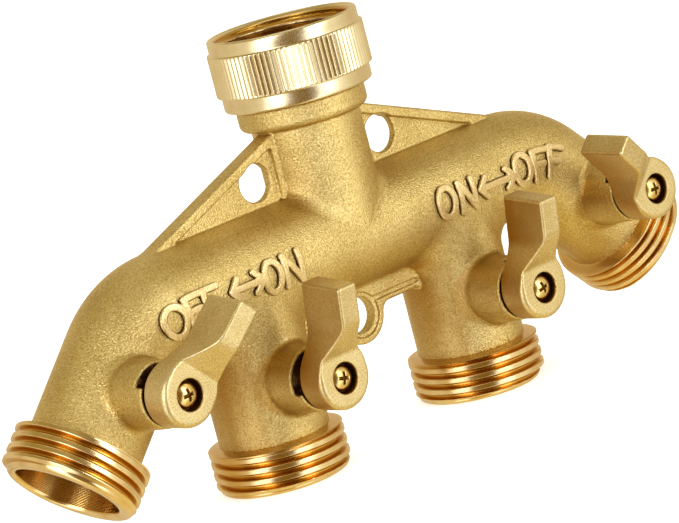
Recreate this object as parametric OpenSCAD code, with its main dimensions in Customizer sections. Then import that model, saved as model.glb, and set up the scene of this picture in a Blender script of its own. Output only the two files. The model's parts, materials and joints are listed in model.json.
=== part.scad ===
// Four-way brass hose splitter: a swivel inlet nut, a cast manifold and four quarter-turn ball valves.
// Origin: on the neck's axis, on the inlet washer's sealing face. +Z points up to the tap, +X runs along
// the manifold, and the levers are on the -Y side. The valves are numbered 1 to 4 from -X to +X.
// Rest position: every valve open, with its lever along its outlet.

/* [Manifold] */
// Height of the washer's sealing face above the manifold's axis
inlet_rise = 36.5; // [34:0.5:60]
// Distance between the axes of the two inner outlets
inner_pitch = 54.4; // [50:0.2:80]
// Distance from an inner outlet's axis to its elbow's corner
elbow_step = 25.1; // [24:0.1:45]
// Radius of the elbow's centre line
bend_r = 17; // [15:0.5:20]
// Slope of an outer outlet below the horizontal
outer_drop = 45; // [40:1:50]
// Length of an inner leg, from the manifold's axis to its end face
inner_leg = 40.6; // [38:0.2:60]
// Length of an outer leg, from the elbow's corner to its end face
outer_leg = 35.9; // [35:0.1:60]
// Thickness of the cast wall round a valve chamber
wall = 2; // [1.5:0.1:4]
// Radius of the waterway inside the manifold
waterway_r = 7.2; // [6.2:0.1:7.6]

/* [Inlet] */
// Radius over the inlet thread's roots, a 3/4 inch female hose thread
inlet_thread_r = 13.62; // [13.4:0.01:16.4]
// Length of inlet thread above the washer
inlet_thread_l = 7; // [5:0.5:12]
// Thickness of the nut's wall at its knurled band
nut_wall = 2.03; // [1.5:0.01:4]
// Height of the nut below the washer's sealing face
nut_skirt = 7.5; // [7:0.1:12]
// Radius of the spigot that the nut turns on
spigot_r = 10.4; // [9.5:0.1:11.5]
// Radius of the bore in the neck
neck_bore_r = 7.6; // [6:0.1:8]
// Height of the collar under the nut
collar_h = 4.5; // [3:0.5:8]
// Number of flutes in the nut's knurled band
flutes = 72; // [48:1:90]
// Depth of a flute
flute_depth = 0.4; // [0.2:0.05:0.55]
// Thickness of the inlet washer
washer_t = 3; // [2:0.5:4]
// Diameter of the retaining ring's wire
ring_wire = 1.5; // [1:0.1:1.8]

/* [Outlets] */
// Radius over the outlet thread's crests, a 3/4 inch male hose thread
outlet_thread_r = 13.5; // [13.2:0.01:16.2]
// Length of the outlet thread
outlet_thread_l = 9; // [8:0.5:12]
// Distance from an outlet's end face to its ball's centre
ball_depth = 20.5; // [20:0.1:26]
// Radius of the ball
ball_r = 8.2; // [7.2:0.1:8.6]
// Radius of the ball's through bore
port_r = 5.4; // [4:0.1:5.6]
// Length of a seat along the outlet
seat_l = 3.6; // [2.8:0.1:4.4]
// Length of the seat retainer
retainer_l = 3.15; // [2.5:0.05:4]

/* [Stem and lever] */
// Height of the boss's end face above the valve's centre
boss_h = 19; // [17:0.5:26]
// Radius of the boss at its end face
boss_r = 6.3; // [6:0.1:8]
// Radius of the stem
stem_r = 3.15; // [2.6:0.05:3.4]
// Radius of the lever's hub
hub_r = 6.1; // [5.8:0.1:8]
// Height of the lever's hub
hub_h = 6.2; // [5.5:0.1:9]
// Distance from the hub's centre to the lever's tip
lever_reach = 19.8; // [17:0.2:24]
// Thickness of the lever's arm
arm_t = 4.6; // [3.5:0.1:6]
// Radius of the well for the screw's head
screw_well_r = 3.15; // [2.8:0.05:4]
// Angle through which the lever turns from open to closed
lever_travel = 90; // [80:1:95]

/* [Webs] */
// Overall thickness of an upper web
web_t = 4.2; // [3:0.1:6]
// Distance from the neck's axis to the foot of a web's sloping edge
web_reach = 45.8; // [38:0.2:46]
// Slope of an upper web's edge
web_slope = 20.7; // [16:0.1:22]
// Width of the rim round a web's pocket
web_rim = 2.3; // [1.5:0.1:3]
// Thickness of the pocket's floor
web_floor = 2; // [1.5:0.1:2.5]
// Radius of the pocket's corners
pocket_round = 0.8; // [0.3:0.1:1]
// Distance between the two wall holes
wall_hole_pitch = 33.6; // [32:0.2:40]
// Radius of a wall hole
wall_hole_r = 3.8; // [2.5:0.1:4]
// Thickness of the lower web and its lug
lug_t = 3.7; // [3:0.1:6]
// Outer radius of the lug
lug_r = 5.9; // [5:0.1:8]
// Radius of the lug's hole
lug_hole_r = 3.65; // [2:0.05:4]
// Depth of the recess round the lug's hole and along the lower web
lug_recess = 0.5; // [0.2:0.1:1]

/* [Clearances] */
// Radial clearance of the stem and the nut in their running fits
run_gap = 0.05; // [0.03:0.01:0.1]
// Gap between faces that move past each other
face_gap = 0.15; // [0.1:0.05:0.3]
// Gap between pieces that are assembled together
fit_gap = 0.05; // [0.03:0.01:0.1]

/* [Hidden] */
$fn = 96;
eps = 0.01;
valve_parts = ["ball", "inner_seat", "outer_seat", "seat_retainer", "stem", "stem_o_ring", "lever",
    "lever_screw"];

// Valve chamber, from the ball outwards
chamber_r = ball_r + 0.8;
tube_r = chamber_r + wall;
seat_r = chamber_r - 2 * fit_gap;
seat_bore_r = port_r + 0.6;
seat_end = ball_r - 0.2;
retainer_r = chamber_r + 0.5;
retainer_start = seat_end + fit_gap;
retainer_end = retainer_start + retainer_l;
mouth_r = retainer_r + 0.7;
end_chamfer = 0.9;

// Manifold. A bend is a little fatter than the straight tubes, which enter it by bend_lap
axis_z = -inlet_rise;
bend_step = 0.06;
bend_lap = 0.5;
elbow_x = inner_pitch / 2 + elbow_step;
bend_run = bend_r * tan(outer_drop / 2);
inner_rise = inner_leg - ball_depth;
outer_rise = outer_leg - ball_depth;
outer_straight = outer_rise - bend_run + bend_lap;
manifold_top = axis_z + tube_r;

// Neck, collar, nut and washer
collar_r = outlet_thread_r - 0.6;
collar_top = -nut_skirt - face_gap;
collar_round = 1.4;
spigot_top = -washer_t;
ring_z = (collar_top + spigot_top) / 2;
washer_r = inlet_thread_r - 0.95;
washer_seat_r = washer_r + 0.25;
nut_band_r = inlet_thread_r + nut_wall;
nut_rim_r = nut_band_r - 0.6;
nut_bore_r = spigot_r + run_gap;
band_low = -nut_skirt + 3.1;
band_high = inlet_thread_l - 2.8;

// Stem, its collar, its seal and its drive flats, as heights above the valve's centre
slot_depth = 1.8;
slot_w = 3;
stem_collar_r = stem_r + 1.05;
stem_collar_low = ball_r + 0.4;
stem_collar_high = stem_collar_low + 1.6;
stem_hole_r = stem_r + run_gap;
seat_start = max(seat_end - seat_l, stem_collar_r + 4 * fit_gap);
o_ring_section = 1.24;
o_ring_mid_r = stem_r - o_ring_section / 2 - 0.03;
groove_r = o_ring_mid_r - o_ring_section / 2 - 0.03;
groove_w = o_ring_section + 0.2;
groove_low = stem_collar_high + 2.2;
flat_half = 1.95;
screw_r = 1.2;
screw_head_r = screw_well_r - 0.75;
screw_head_h = 1.9;
screw_l = 8.4;

// Boss, stop slot and lever, as heights above the valve's centre
boss_root_r = boss_r + 0.6;
boss_flare = 2.2;
hub_low = boss_h + 0.6;
hub_high = hub_low + hub_h;
well_floor = hub_high - 2.8;
stem_high = well_floor - 0.3;
stop_half = 25;
stop_gap = 1;
stop_depth = 2.5;
stop_low = boss_h - stop_depth;
stop_lug_low = stop_low + 2 * face_gap;
arm_round = 5;
arm_rise = 5.8;
arm_foot = hub_r + 1.9;
arm_shoulder = hub_r + 4.1;

// Webs
wall_hole_z = manifold_top + wall_hole_r + 1.2;
lower_web_h = 4.9;
lower_web_z = axis_z - tube_r - lower_web_h;
lug_z = lower_web_z - 0.6;
lug_round = 2;
lower_rim = 1.1;
lower_groove = 0.9;
lug_rim = 1.4;

// Turns a shape drawn with its height along +Z so that the height points forward, to -Y
module forward() { rotate([90, 0, 0]) children(); }

// Repeats a shape of the -X side on both sides of the neck
module both_sides() { for (side = [0, 1]) mirror([side, 0, 0]) children(); }

// Moves a shape from a valve's own frame, with the ball's centre as origin and +Z up its leg
module at_inner() { translate([-inner_pitch / 2, 0, axis_z - inner_rise]) children(); }
module at_outer() {
    translate([-elbow_x, 0, axis_z]) rotate([0, outer_drop, 0]) translate([0, 0, -outer_rise]) children();
}
module at_valve(i) {
    mirror([i > 2 ? 1 : 0, 0, 0])
        if (i == 1 || i == 4) at_outer() children();
        else at_inner() children();
}

// The bend between the manifold and an outer leg, round a tube of radius r
module elbow(r) {
    forward() translate([-elbow_x + bend_run, axis_z - bend_r]) rotate([0, 0, 90])
        rotate_extrude(angle = outer_drop) translate([bend_r, 0]) circle(r + bend_step);
}

// The straight manifold between the elbows, as a solid of radius r
module straight(r) {
    translate([0, 0, axis_z]) rotate([0, 90, 0])
        cylinder(r = r, h = 2 * (elbow_x - bend_run + bend_lap), center = true);
}

// Outside of one leg: tube, threaded end and valve boss; rise is the tube's length above the ball
module leg_outside(rise) {
    translate([0, 0, outlet_thread_l - ball_depth - 1]) cylinder(r = tube_r, h = rise + ball_depth
        - outlet_thread_l + 1);
    translate([0, 0, -ball_depth]) rotate_extrude() polygon([
        [0, 0], [outlet_thread_r - end_chamfer, 0], [outlet_thread_r, end_chamfer],
        [outlet_thread_r, outlet_thread_l], [0, outlet_thread_l]]);
    forward() rotate_extrude() polygon([[0, 0], [boss_root_r + boss_flare, 0],
        for (a = [0:15:90]) [boss_root_r + boss_flare * (1 - sin(a)), tube_r + boss_flare * (0.2 - cos(a))],
        [boss_r, boss_h - 0.4], [boss_r - 0.4, boss_h], [0, boss_h]]);
}

// Inside of one leg: mouth, retainer thread, chamber, waterway, stem hole and the stop slot
module leg_inside(rise) {
    translate([0, 0, -ball_depth]) rotate_extrude() polygon([
        [0, -eps], [mouth_r + 0.8, -eps], [mouth_r, 0.8], [mouth_r, ball_depth - retainer_end],
        [retainer_r + fit_gap, ball_depth - retainer_end],
        [retainer_r + fit_gap, ball_depth - retainer_start],
        [chamber_r, ball_depth - retainer_start], [chamber_r, ball_depth + seat_end + fit_gap],
        [waterway_r, ball_depth + seat_end + fit_gap], [waterway_r, ball_depth + rise],
        [0, ball_depth + rise]]);
    forward() {
        cylinder(r = stem_collar_r + 2 * fit_gap, h = stem_collar_high + fit_gap);
        cylinder(r = stem_hole_r, h = boss_h + 1);
        rotate([0, 0, 90 - stop_half - stop_gap]) rotate_extrude(angle = stop_sweep())
            translate([stem_r - 1, stop_low]) square([boss_root_r, stop_depth + 1]);
    }
}
function stop_sweep() = lever_travel + 2 * (stop_half + stop_gap);

// Neck with its collar and the spigot for the nut
module neck_outside() {
    rotate_extrude() polygon([[0, axis_z], [tube_r - 0.1, axis_z],
        [tube_r - 0.1, collar_top - collar_h],
        [collar_r - collar_round, collar_top - collar_h],
        for (a = [0:15:90]) [collar_r + collar_round * (sin(a) - 1),
            collar_top - collar_h + collar_round * (1 - cos(a))],
        [collar_r, collar_top - 0.3], [collar_r - 0.3, collar_top], [spigot_r, collar_top],
        [spigot_r, ring_z - ring_wire / 2 - fit_gap], [spigot_r - ring_wire / 2 - fit_gap,
            ring_z - ring_wire / 2 - fit_gap],
        [spigot_r - ring_wire / 2 - fit_gap, ring_z + ring_wire / 2 + fit_gap],
        [spigot_r, ring_z + ring_wire / 2 + fit_gap], [spigot_r, spigot_top - 0.4],
        [spigot_r - 0.4, spigot_top], [0, spigot_top]]);
}

// Direction from corner i of an outline to the corner that comes step places after it
function along(points, i, step) = let(n = len(points), v = points[(i + step + n) % n] - points[i])
    v / norm(v);

// A convex outline with its corners rounded: circles in the corners and the polygon between them
module rounded(points, r) {
    half = [for (i = [0:len(points) - 1]) acos(along(points, i, -1) * along(points, i, 1)) / 2];
    polygon([for (i = [0:len(points) - 1], step = [-1, 1])
        points[i] + along(points, i, step) * r / tan(half[i])]);
    for (i = [0:len(points) - 1])
        translate(points[i] + (along(points, i, -1) + along(points, i, 1)) * r / sin(2 * half[i]))
            circle(r);
}

// Upper web on the -X side: a triangle with a pocket in each face
module upper_web() {
    inset = web_rim / cos(web_slope);
    pocket_x = tube_r + 0.9;
    pocket_low = 0.4;
    difference() {
        forward() linear_extrude(web_t, center = true) polygon([[0, axis_z],
            [0, manifold_top + web_reach * tan(web_slope)], [-web_reach, manifold_top],
            [-web_reach, axis_z]]);
        for (face = [-1, 1]) forward() translate([0, 0, face * web_t / 2])
            linear_extrude(web_t - web_floor, center = true) rounded([
                [-pocket_x, manifold_top + pocket_low],
                [-pocket_x, manifold_top + (web_reach - pocket_x) * tan(web_slope) - inset],
                [(pocket_low + inset) / tan(web_slope) - web_reach, manifold_top + pocket_low]],
                pocket_round);
    }
}

// Lower web with its round lug, and a recess in each face that leaves a rim
module lower_web() {
    reach = inner_pitch / 2 - tube_r + 1;
    round_x = sqrt(pow(lug_r + lug_round, 2) - pow(lower_web_z - lug_round - lug_z, 2));
    difference() {
        forward() linear_extrude(lug_t, center = true) {
            translate([-reach, lower_web_z]) square([2 * reach, lower_web_h + 2]);
            translate([0, lug_z]) circle(lug_r);
            difference() {
                translate([-round_x, lower_web_z - lug_round]) square([2 * round_x, lug_round + 1]);
                both_sides() translate([-round_x, lower_web_z - lug_round]) circle(lug_round);
                translate([0, lug_z]) circle(lug_r - 1);
            }
        }
        for (face = [-1, 1]) forward() translate([0, 0, face * lug_t / 2])
            linear_extrude(2 * lug_recess, center = true) {
                translate([-reach - 1, lower_web_z + lower_rim]) square([2 * reach + 2, lower_groove]);
                translate([0, lug_z]) circle(lug_r - lug_rim);
            }
    }
}

module manifold_casting() {
    color("goldenrod") difference() {
        union() {
            straight(tube_r);
            neck_outside();
            both_sides() {
                elbow(tube_r);
                at_inner() leg_outside(inner_rise);
                at_outer() leg_outside(outer_straight);
                upper_web();
            }
            lower_web();
        }
        straight(waterway_r);
        translate([0, 0, axis_z]) cylinder(r = neck_bore_r, h = inlet_rise);
        both_sides() {
            elbow(waterway_r);
            at_inner() leg_inside(inner_rise);
            at_outer() leg_inside(outer_straight);
            translate([-wall_hole_pitch / 2, 0, wall_hole_z]) forward()
                cylinder(r = wall_hole_r, h = web_t + 2, center = true);
        }
        translate([0, 0, lug_z]) forward() cylinder(r = lug_hole_r, h = lug_t + 2, center = true);
    }
}

module swivel_nut() {
    groove_half = ring_wire / 2 + 2 * fit_gap;
    color("khaki") difference() {
        nut_blank(groove_half);
        translate([0, 0, band_low - 1]) linear_extrude(band_high - band_low + 2)
            for (i = [0:flutes - 1]) rotate(i * 360 / flutes) translate([nut_band_r, 0])
                rotate(45) square(flute_depth * sqrt(2), center = true);
    }
}

// The nut before its flutes are cut
module nut_blank(groove_half) {
    rotate_extrude() polygon([
        [nut_bore_r, -nut_skirt], [nut_rim_r - 0.8, -nut_skirt], [nut_rim_r - 0.2, -nut_skirt + 0.6],
        [nut_rim_r - 0.2, band_low], [nut_band_r, band_low + 0.3], [nut_band_r, band_high - 0.4],
        [nut_rim_r, band_high], [nut_rim_r, inlet_thread_l - 0.5], [nut_rim_r - 0.5, inlet_thread_l],
        [inlet_thread_r + 0.6, inlet_thread_l], [inlet_thread_r, inlet_thread_l - 0.6],
        [inlet_thread_r, 0], [washer_seat_r, 0], [washer_seat_r, spigot_top - face_gap],
        [nut_bore_r, spigot_top - face_gap],
        [nut_bore_r, ring_z + groove_half], [nut_bore_r + groove_half, ring_z + groove_half],
        [nut_bore_r + groove_half, ring_z - groove_half], [nut_bore_r, ring_z - groove_half]]);
}

module nut_retaining_ring() {
    color("silver") translate([0, 0, ring_z]) rotate([0, 0, -80]) rotate_extrude(angle = 340)
        translate([spigot_r, 0]) circle(d = ring_wire);
}

module inlet_washer() {
    color("dimgray") translate([0, 0, -washer_t]) difference() {
        cylinder(r = washer_r, h = washer_t);
        translate([0, 0, -1]) cylinder(r = neck_bore_r + 0.4, h = washer_t + 2);
    }
}

module ball() {
    color("gainsboro") difference() {
        sphere(ball_r);
        cylinder(r = port_r, h = 3 * ball_r, center = true);
        translate([-ball_r, -ball_r - 1, -slot_w / 2]) cube([2 * ball_r, slot_depth + 1, slot_w]);
    }
}

// A seat; side is +1 above the ball and -1 below it
module seat(side) {
    color("white") difference() {
        translate([0, 0, side > 0 ? seat_start : -seat_end]) cylinder(r = seat_r, h = seat_end - seat_start);
        cylinder(r = seat_bore_r, h = 3 * ball_r, center = true);
        sphere(ball_r + 2 * fit_gap);
    }
}
module inner_seat() { seat(1); }
module outer_seat() { seat(-1); }

module seat_retainer() {
    slot = 1.2;
    color("goldenrod") translate([0, 0, -retainer_end]) difference() {
        cylinder(r = retainer_r, h = retainer_l);
        translate([0, 0, -1]) cylinder(r = seat_bore_r, h = retainer_l + 2);
        translate([-retainer_r - 1, -1, -1]) cube([2 * retainer_r + 2, 2, slot + 1]);
    }
}

// Outline of the stem's drive flats, grown by gap
module flats(gap) {
    intersection() {
        circle(stem_r + gap);
        square([2 * (flat_half + gap), 3 * stem_r], center = true);
    }
}

module stem() {
    tang_low = ball_r - slot_depth + fit_gap;
    tang_half = slot_w / 2 - fit_gap;
    color("darkgoldenrod") forward() difference() {
        union() {
            intersection() {
                translate([-stem_r, -tang_half, tang_low]) cube([2 * stem_r, 2 * tang_half,
                    stem_collar_low - tang_low + 0.5]);
                cylinder(r = stem_r, h = boss_h);
            }
            translate([0, 0, stem_collar_low]) cylinder(r = stem_collar_r, h = stem_collar_high
                - stem_collar_low);
            translate([0, 0, stem_collar_high - 0.5]) cylinder(r = stem_r, h = boss_h + 0.3
                - stem_collar_high + 0.5);
            translate([0, 0, boss_h]) linear_extrude(stem_high - boss_h) flats(0);
        }
        translate([0, 0, groove_low]) difference() {
            cylinder(r = stem_r + 1, h = groove_w);
            translate([0, 0, -1]) cylinder(r = groove_r, h = groove_w + 2);
        }
        translate([0, 0, well_floor - screw_l]) cylinder(r = screw_r + fit_gap, h = screw_l + 1);
    }
}

module stem_o_ring() {
    color("black") forward() translate([0, 0, groove_low + groove_w / 2]) rotate_extrude()
        translate([o_ring_mid_r, 0]) circle(d = o_ring_section, $fn = 48);
}

// Outline of the lever from the front: hub, arm and the concave flares between them
module lever_plan() {
    flare_x = arm_t / 2 + arm_round;
    flare_y = sqrt(pow(hub_r + arm_round, 2) - pow(flare_x, 2));
    touch = hub_r / (hub_r + arm_round);
    circle(hub_r);
    translate([-arm_t / 2, 0]) square([arm_t, lever_reach]);
    difference() {
        polygon([[0, 0], touch * [flare_x, flare_y], [arm_t / 2, flare_y], [-arm_t / 2, flare_y],
            touch * [-flare_x, flare_y]]);
        for (side = [-1, 1]) translate([side * flare_x, flare_y]) circle(arm_round);
    }
}

// Side view of the lever: reach along X, height above the valve's centre along Y
module lever_side() {
    polygon([[-hub_r - 1, hub_low], [hub_r, hub_low], [arm_foot, hub_low + 0.8],
        [lever_reach - 0.1, hub_low + 3], [lever_reach - 1.6, hub_high + 7.2],
        [arm_shoulder, hub_high + arm_rise], [hub_r - 1.5, hub_high], [-hub_r - 1, hub_high]]);
}

module lever() {
    color("gold") forward() difference() {
        union() {
            intersection() {
                linear_extrude(hub_high + 10) lever_plan();
                rotate([0, 0, 90]) rotate([90, 0, 0]) linear_extrude(4 * hub_r, center = true) lever_side();
            }
            rotate([0, 0, 90 - stop_half]) rotate_extrude(angle = 2 * stop_half)
                translate([stem_r + 0.4, stop_lug_low]) square([hub_r - stem_r - 0.6, hub_low + 0.5
                    - stop_lug_low]);
        }
        translate([0, 0, hub_low - 1]) linear_extrude(well_floor - hub_low + 2) flats(fit_gap);
        translate([0, 0, well_floor]) cylinder(r = screw_well_r, h = hub_h);
    }
}

module lever_screw() {
    color("gold") forward() difference() {
        union() {
            translate([0, 0, well_floor + fit_gap]) rotate_extrude() polygon([[0, 0], [screw_head_r, 0],
                [screw_head_r, 0.5 * screw_head_h],
                for (a = [15:15:90]) [screw_head_r * cos(a), screw_head_h * (0.5 + 0.5 * sin(a))]]);
            translate([0, 0, well_floor - screw_l + 0.5]) cylinder(r = screw_r, h = screw_l);
        }
        for (turn = [0, 90]) rotate([0, 0, turn])
            translate([-1.3, -0.35, well_floor + 0.4 * screw_head_h]) cube([2.6, 0.7, screw_head_h]);
    }
}

manifold_casting();
swivel_nut();
nut_retaining_ring();
inlet_washer();
for (i = [1:4]) {
    at_valve(i) ball();
    at_valve(i) inner_seat();
    at_valve(i) outer_seat();
    at_valve(i) seat_retainer();
    at_valve(i) stem();
    at_valve(i) stem_o_ring();
    at_valve(i) lever();
    at_valve(i) lever_screw();
}
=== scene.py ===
import bpy
import json
import math
import numpy as np
from mathutils import Matrix, Vector


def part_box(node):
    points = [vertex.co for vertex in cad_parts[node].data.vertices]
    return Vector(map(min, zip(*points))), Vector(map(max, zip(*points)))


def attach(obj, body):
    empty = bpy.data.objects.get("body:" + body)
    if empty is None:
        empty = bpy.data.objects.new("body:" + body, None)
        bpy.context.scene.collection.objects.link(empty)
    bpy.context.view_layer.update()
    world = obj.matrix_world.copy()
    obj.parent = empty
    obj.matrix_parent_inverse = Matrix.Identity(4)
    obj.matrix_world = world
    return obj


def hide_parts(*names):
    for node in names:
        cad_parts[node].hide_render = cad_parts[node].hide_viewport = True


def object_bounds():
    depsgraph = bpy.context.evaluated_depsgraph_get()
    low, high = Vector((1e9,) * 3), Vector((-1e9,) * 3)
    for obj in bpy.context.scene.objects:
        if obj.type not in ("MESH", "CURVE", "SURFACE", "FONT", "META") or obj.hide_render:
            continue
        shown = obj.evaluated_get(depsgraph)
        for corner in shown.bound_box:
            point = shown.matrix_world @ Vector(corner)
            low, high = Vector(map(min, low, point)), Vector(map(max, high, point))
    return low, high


# Looks for a four-way brass hose splitter. Lengths are in millimetres until makePiece turns them to metres.
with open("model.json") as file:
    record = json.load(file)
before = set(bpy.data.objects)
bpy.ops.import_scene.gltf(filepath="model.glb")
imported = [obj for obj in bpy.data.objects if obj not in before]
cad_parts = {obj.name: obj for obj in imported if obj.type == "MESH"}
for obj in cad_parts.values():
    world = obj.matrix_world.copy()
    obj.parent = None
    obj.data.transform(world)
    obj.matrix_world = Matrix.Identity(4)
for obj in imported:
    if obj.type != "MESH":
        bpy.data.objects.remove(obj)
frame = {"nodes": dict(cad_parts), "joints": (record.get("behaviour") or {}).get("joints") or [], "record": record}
record = frame["record"]
nodes = frame["nodes"]
cadBox = [list(c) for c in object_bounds()]
print("frame loaded:", len(nodes), "nodes")

mm = 0.001
front = np.array([0.0, -1.0, 0.0])  # the levers' side


def makePiece(name, points, faces, normals=None, sharpAngle=None, **marks):
    # points (n, 3) in mm and faces (m, corners) as whole arrays become a smooth mesh at the origin. The marks
    # are values per point that the materials read: shade is 1 where painted shade darkens the metal in slots,
    # wells, grooves and mouths, and shelter is 1 where other parts of the casting enclose it, painted as shade
    mesh = bpy.data.meshes.new(name)
    mesh.vertices.add(len(points))
    mesh.vertices.foreach_set("co", (np.asarray(points) * mm).astype(np.float32).ravel())
    corners = faces.shape[1]
    mesh.loops.add(faces.size)
    mesh.loops.foreach_set("vertex_index", faces.astype(np.int32).ravel())
    mesh.polygons.add(len(faces))
    mesh.polygons.foreach_set("loop_start", np.arange(0, faces.size, corners, dtype=np.int32))
    mesh.update(calc_edges=True)
    mesh.validate()
    mesh.shade_smooth()
    if sharpAngle:
        mesh.set_sharp_from_angle(angle=math.radians(sharpAngle))
    if normals is not None:
        mesh.normals_split_custom_set_from_vertices(normals.tolist())
    for mark, values in marks.items():
        attribute = mesh.attributes.new(mark, "FLOAT", "POINT")
        attribute.data.foreach_set("value", values.astype(np.float32).ravel())
    piece = bpy.data.objects.new(name, mesh)
    bpy.context.scene.collection.objects.link(piece)
    return piece


def gridFaces(rows, columns, closeRows=False, closeColumns=True):
    # squares between neighbouring rows and columns; a closed direction joins its last line to its first
    r = np.arange(rows if closeRows else rows - 1)[:, None]
    c = np.arange(columns if closeColumns else columns - 1)[None, :]
    r2, c2 = (r + 1) % rows, (c + 1) % columns
    corners = (r * columns + c, r * columns + c2, r2 * columns + c2, r2 * columns + c)
    return np.stack(np.broadcast_arrays(*corners), -1).reshape(-1, 4)


def smoothStep(low, high, t):
    # rises from 0 at low to 1 at high, with level ends
    s = np.clip((t - low) / (high - low), 0, 1)
    return s * s * (3 - 2 * s)


def joinRound(a, b, r):
    # union of two fields with a fillet of radius r in the corner between them
    r = np.maximum(r, 1e-6)
    u, v = np.maximum(r - a, 0), np.maximum(r - b, 0)
    return np.maximum(r, np.minimum(a, b)) - np.sqrt(u * u + v * v)


def cutRound(a, b, r):
    # where both fields are inside, with the edge between them rounded to radius r
    u, v = np.maximum(r + a, 0), np.maximum(r + b, 0)
    return np.minimum(-r, np.maximum(a, b)) + np.sqrt(u * u + v * v)


def segmentDistance(x, y, ax, ay, bx, by):
    # distance in the plane from points to the line between two ends
    dx, dy = bx - ax, by - ay
    t = np.clip(((x - ax) * dx + (y - ay) * dy) / (dx * dx + dy * dy), 0, 1)
    return np.hypot(x - ax - t * dx, y - ay - t * dy)


def slopes(field, p, e=0.01):
    # gradient of a field at points, from central differences
    g = np.empty_like(p)
    for k in range(3):
        step = np.zeros(3)
        step[k] = e
        a, b = p + step, p - step
        g[:, k] = (field(a[:, 0], a[:, 1], a[:, 2]) - field(b[:, 0], b[:, 1], b[:, 2])) / (2 * e)
    return g


def settle(field, p, rounds=3, limit=0.4):
    # moves points along the gradient on to the zero level
    for _ in range(rounds):
        g = slopes(field, p)
        move = field(p[:, 0], p[:, 1], p[:, 2]) / np.maximum((g * g).sum(1), 0.2)
        p = p - np.clip(move, -limit, limit)[:, None] * g
    return p


def skin(field, low, high, step):
    # zero level of a field on a grid: each cell that it crosses gets one point, at the mean of the crossings on
    # its edges, and each crossed edge joins the points of the four cells round it with a square
    axes = [np.arange(a, b + step, step) for a, b in zip(low, high)]
    d = field(axes[0][:, None, None], axes[1][None, :, None], axes[2][None, None, :]).astype(np.float32)
    for side in (0, -1):
        d[side], d[:, side], d[:, :, side] = step, step, step  # the skin always closes inside the grid
    cells = np.array(d.shape) - 1
    total = int(np.prod(cells))
    sums, counts, quads = np.zeros((3, total)), np.zeros(total), []
    for k in range(3):
        a = np.moveaxis(d, k, 0)
        i, j, l = np.nonzero((a[1:] < 0) != (a[:-1] < 0))
        d0, d1 = a[i, j, l], a[i + 1, j, l]
        n1, n2 = (k + 1) % 3, (k + 2) % 3  # the two other axes, in right-handed order
        if k == 1:
            j, l = l, j  # moveaxis leaves x before z, and the order here is z then x
        place = [None] * 3
        place[k] = axes[k][i] + step * d0 / (d0 - d1)
        place[n1], place[n2] = axes[n1][j], axes[n2][l]
        ring = []
        for dj, dl in ((-1, -1), (0, -1), (0, 0), (-1, 0)):
            cell = [None] * 3
            cell[k], cell[n1], cell[n2] = i, j + dj, l + dl
            ids = (cell[0] * cells[1] + cell[1]) * cells[2] + cell[2]
            ring.append(ids)
            counts += np.bincount(ids, minlength=total)
            for m in range(3):
                sums[m] += np.bincount(ids, weights=place[m], minlength=total)
        ring = np.stack(ring, 1)
        quads.append(np.where((d0 < 0)[:, None], ring, ring[:, ::-1]))
    used = np.nonzero(counts)[0]
    index = np.zeros(total, np.int64)
    index[used] = np.arange(len(used))
    return (sums[:, used] / counts[used]).T, index[np.concatenate(quads)]


def thinned(points, faces, ratio):
    # the same skin with only this share of its triangles, most of them where it curves
    rough = makePiece("rough", points, faces)
    thin = rough.modifiers.new("thin", "DECIMATE")
    thin.ratio = ratio
    baked = bpy.data.meshes.new_from_object(rough.evaluated_get(bpy.context.evaluated_depsgraph_get()))
    baked.calc_loop_triangles()
    p = np.empty(len(baked.vertices) * 3, np.float32)
    baked.vertices.foreach_get("co", p)
    f = np.empty(len(baked.loop_triangles) * 3, np.int32)
    baked.loop_triangles.foreach_get("vertices", f)
    bpy.data.objects.remove(rough)
    return p.reshape(-1, 3).astype(float) / mm, f.reshape(-1, 3)


def fieldPiece(name, field, low, high, step, ratio=1.0):
    # skin of a field inside a box, settled on the zero level, with normals from the field's gradient
    points, faces = skin(field, low, high, step)
    points = settle(field, points)
    if ratio < 1:
        points, faces = thinned(points, faces, ratio)
        points = settle(field, points, 2)
    g = slopes(field, points, 0.03)
    g /= np.maximum(np.linalg.norm(g, axis=1), 1e-9)[:, None]
    print(name, len(faces), "faces")
    return points, faces, g


def dress(piece, body, slotName, material, *replaced):
    # gives a piece its material, the body that it moves with, and the nodes whose place it takes; slotName is not
    # used
    piece.data.materials.append(material)
    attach(piece, body)
    if replaced:
        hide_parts(*replaced)


def colour(code):
    # sRGB hex to linear
    c = np.array([int(code[i:i + 2], 16) for i in (1, 3, 5)]) / 255
    return (*np.where(c <= 0.04045, c / 12.92, ((c + 0.055) / 1.055) ** 2.4), 1.0)


def addNode(tree, kind, links=None, **settings):
    # one node with its settings; links maps an input to an output or a plain value
    node = tree.nodes.new(kind)
    for key, value in settings.items():
        setattr(node, key, value)
    for key, value in (links or {}).items():
        if isinstance(value, bpy.types.NodeSocket):
            tree.links.new(value, node.inputs[key])
        else:
            node.inputs[key].default_value = value
    return node


def newMaterial(name):
    # an empty material with its shader and output, and the coordinates that its patterns lie on
    material = bpy.data.materials.new(name)
    material.use_nodes = True
    tree = material.node_tree
    tree.nodes.clear()
    shader = addNode(tree, "ShaderNodeBsdfPrincipled")
    out = addNode(tree, "ShaderNodeOutputMaterial", {"Surface": shader.outputs[0]})
    out.is_active_output = True
    place = addNode(tree, "ShaderNodeTexCoord").outputs["Object"]
    return material, tree, shader, place


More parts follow.
